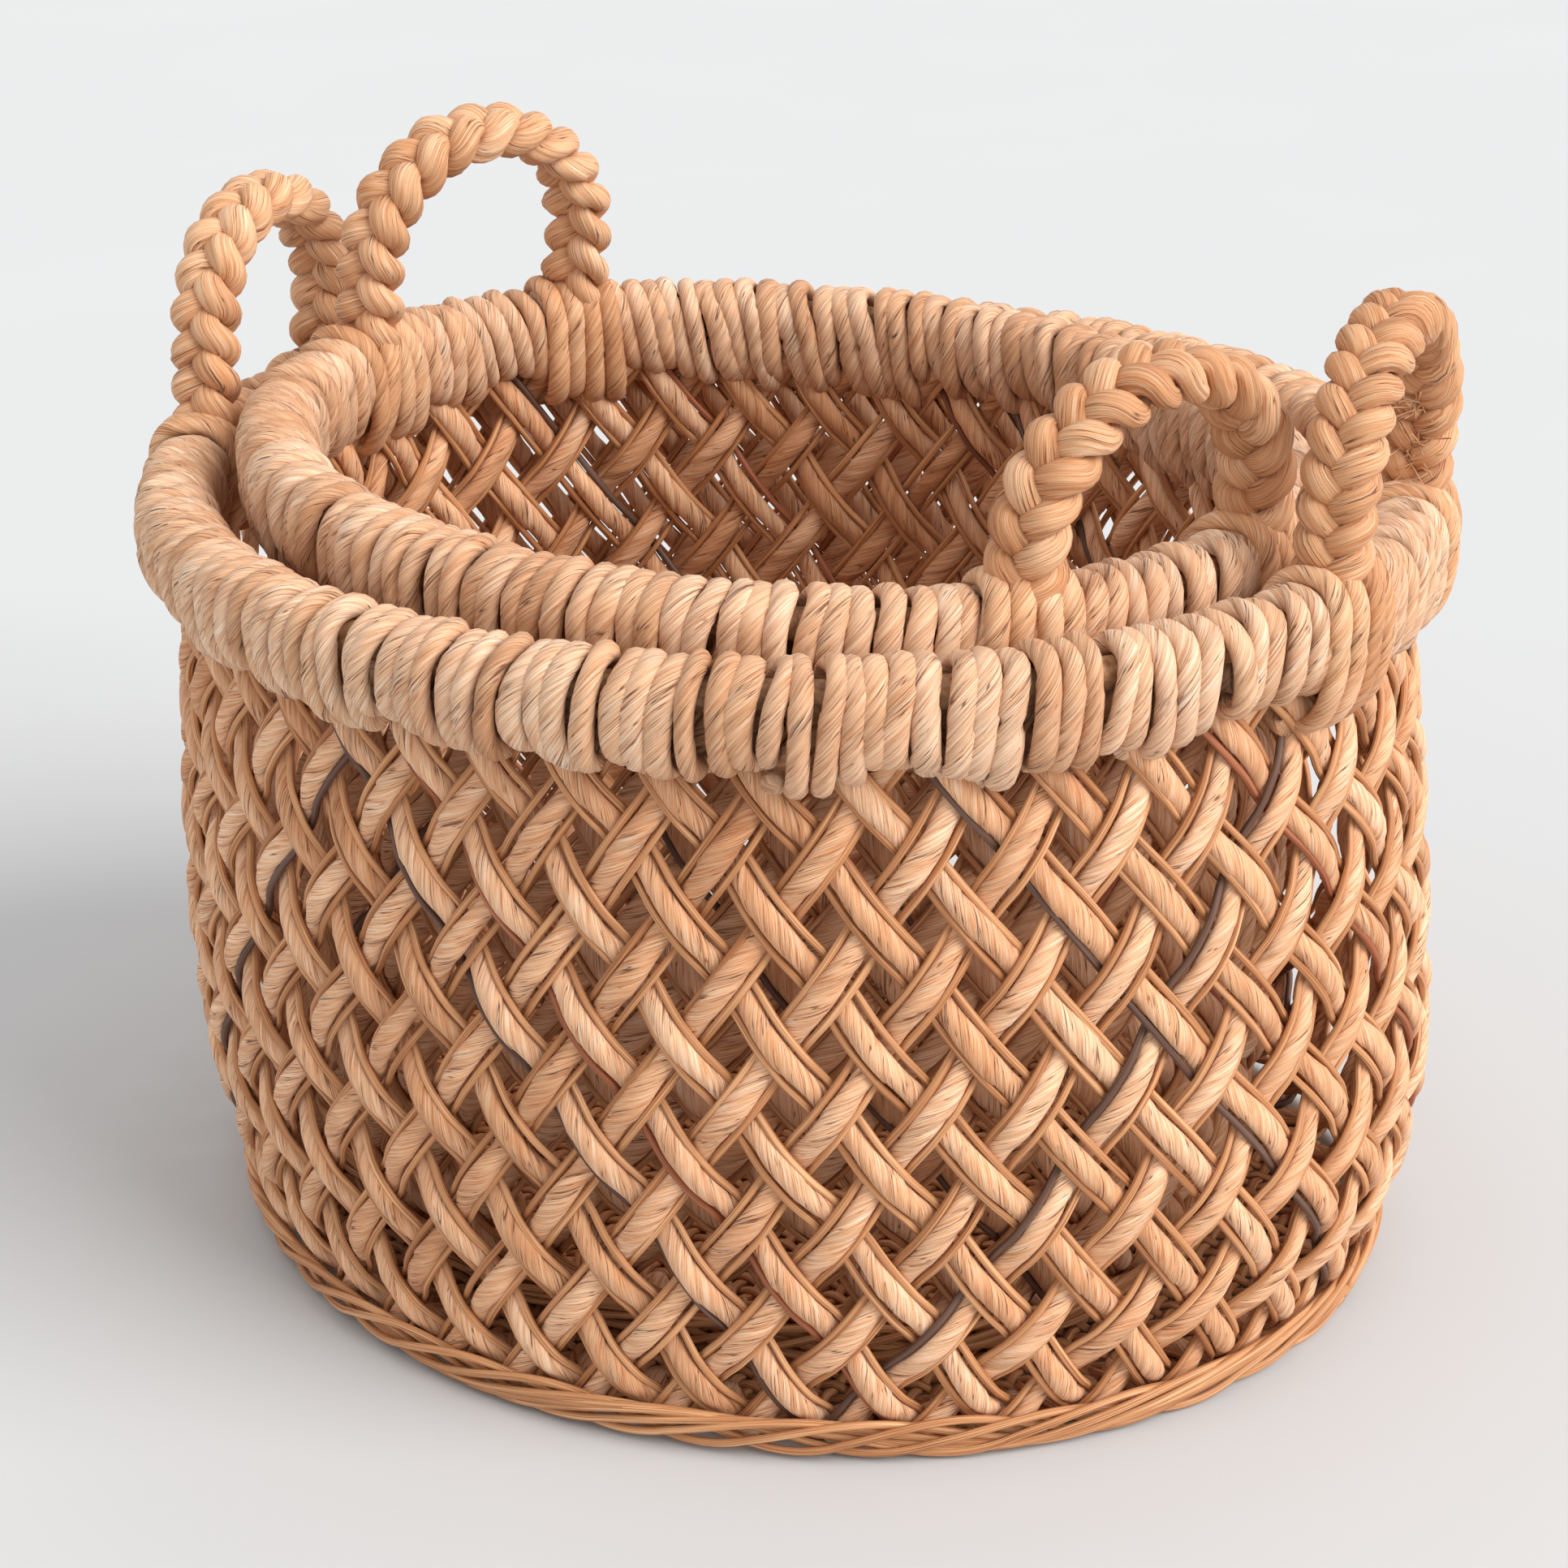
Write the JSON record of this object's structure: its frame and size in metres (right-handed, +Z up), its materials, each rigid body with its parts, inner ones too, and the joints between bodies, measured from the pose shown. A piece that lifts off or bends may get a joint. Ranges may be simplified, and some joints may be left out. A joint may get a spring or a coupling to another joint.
{
  "type": "nested woven laundry baskets",
  "caption": "Open-weave oval laundry basket of flat rope and cane, with rope-wrapped rim and plaited standing loop handles, with a smaller matching basket nested inside.",
  "frame": {"origin": "on the floor, in the middle of the larger basket's underside", "axes": "+Z up, +X along the larger basket's long axis"},
  "size_m": [0.6207, 0.5356, 0.5028],
  "materials": {
    "hyacinth_rope": "dry twisted plant fibre rope, matte with a faint waxy sheen",
    "rattan_cane": "peeled round cane, satin"
  },
  "bodies": {
    "outer_basket": {"outer_base_mat": "rattan_cane", "outer_woven_wall": "hyacinth_rope", "outer_rim_hoop": "rattan_cane", "outer_rim_wrap": "hyacinth_rope", "outer_border_rod_1": "rattan_cane", "outer_border_rod_2": "rattan_cane", "outer_border_rod_3": "rattan_cane", "outer_border_rod_4": "rattan_cane", "outer_right_handle_lashing": "hyacinth_rope", "outer_left_handle_lashing": "hyacinth_rope"},
    "outer_right_handle": {"outer_right_handle_strand_a": "hyacinth_rope", "outer_right_handle_strand_b": "hyacinth_rope", "outer_right_handle_strand_c": "hyacinth_rope"},
    "outer_left_handle": {"outer_left_handle_strand_a": "hyacinth_rope", "outer_left_handle_strand_b": "hyacinth_rope", "outer_left_handle_strand_c": "hyacinth_rope"},
    "inner_basket": {"inner_base_mat": "rattan_cane", "inner_woven_wall": "hyacinth_rope", "inner_rim_hoop": "rattan_cane", "inner_rim_wrap": "hyacinth_rope", "inner_border_rod_1": "rattan_cane", "inner_border_rod_2": "rattan_cane", "inner_border_rod_3": "rattan_cane", "inner_border_rod_4": "rattan_cane", "inner_right_handle_lashing": "hyacinth_rope", "inner_left_handle_lashing": "hyacinth_rope"},
    "inner_right_handle": {"inner_right_handle_strand_a": "hyacinth_rope", "inner_right_handle_strand_b": "hyacinth_rope", "inner_right_handle_strand_c": "hyacinth_rope"},
    "inner_left_handle": {"inner_left_handle_strand_a": "hyacinth_rope", "inner_left_handle_strand_b": "hyacinth_rope", "inner_left_handle_strand_c": "hyacinth_rope"}
  },
  "joints": [
    {"name": "inner_basket_lift", "type": "slide", "parent": "outer_basket", "child": "inner_basket", "axis": [0.0408, 0, 0.9992], "range_m": [0, 0.5]},
    {"name": "outer_right_handle_lean", "type": "hinge", "parent": "outer_basket", "child": "outer_right_handle", "pos_m": [0.27783, 0.01058, 0.352], "axis": [-0.05, 0.9987, 0], "range_deg": [0, 30], "stiffness_Nm_per_rad": 1.5},
    {"name": "outer_left_handle_lean", "type": "hinge", "parent": "outer_basket", "child": "outer_left_handle", "pos_m": [-0.27854, -0.01827, 0.352], "axis": [0.0859, -0.9963, 0], "range_deg": [0, 30], "stiffness_Nm_per_rad": 1.5},
    {"name": "inner_right_handle_lean", "type": "hinge", "parent": "inner_basket", "child": "inner_right_handle", "pos_m": [0.20888, -0.07513, 0.36083], "axis": [-0.4095, -0.9122, 0.0167], "range_deg": [0, 25], "stiffness_Nm_per_rad": 1.5},
    {"name": "inner_left_handle_lean", "type": "hinge", "parent": "inner_basket", "child": "inner_left_handle", "pos_m": [-0.21107, 0.06497, 0.37799], "axis": [0.4185, 0.908, -0.0171], "range_deg": [0, 25], "stiffness_Nm_per_rad": 1.5}
  ]
}
